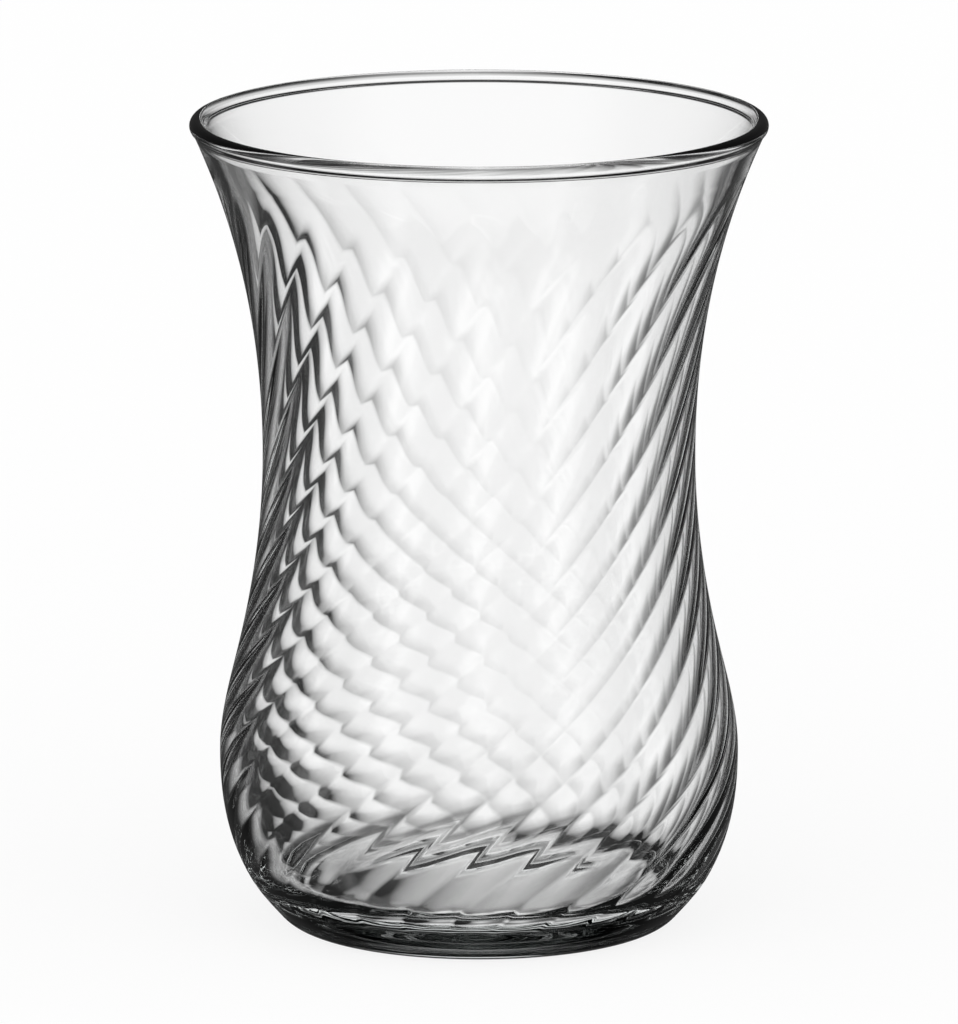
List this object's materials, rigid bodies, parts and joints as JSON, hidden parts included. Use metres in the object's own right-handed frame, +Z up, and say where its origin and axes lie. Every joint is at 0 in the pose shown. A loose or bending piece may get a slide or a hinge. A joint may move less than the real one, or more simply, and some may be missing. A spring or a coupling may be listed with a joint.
{
  "type": "tea glass",
  "caption": "Waisted clear tea glass with a flared beaded rim, a rounded bowl on a heavy flat foot and twisted optic ribs inside.",
  "frame": {"origin": "centre of the foot's resting plane", "axes": "+Z up along the axis of the glass; the glass is round, so +X and +Y are free, with -Y the side that the picture shows"},
  "size_m": [0.062, 0.062, 0.088],
  "materials": {
    "clear_glass": "clear soda-lime glass, fire polished"
  },
  "bodies": {
    "root": {"glass_body": "clear_glass"}
  },
  "joints": []
}
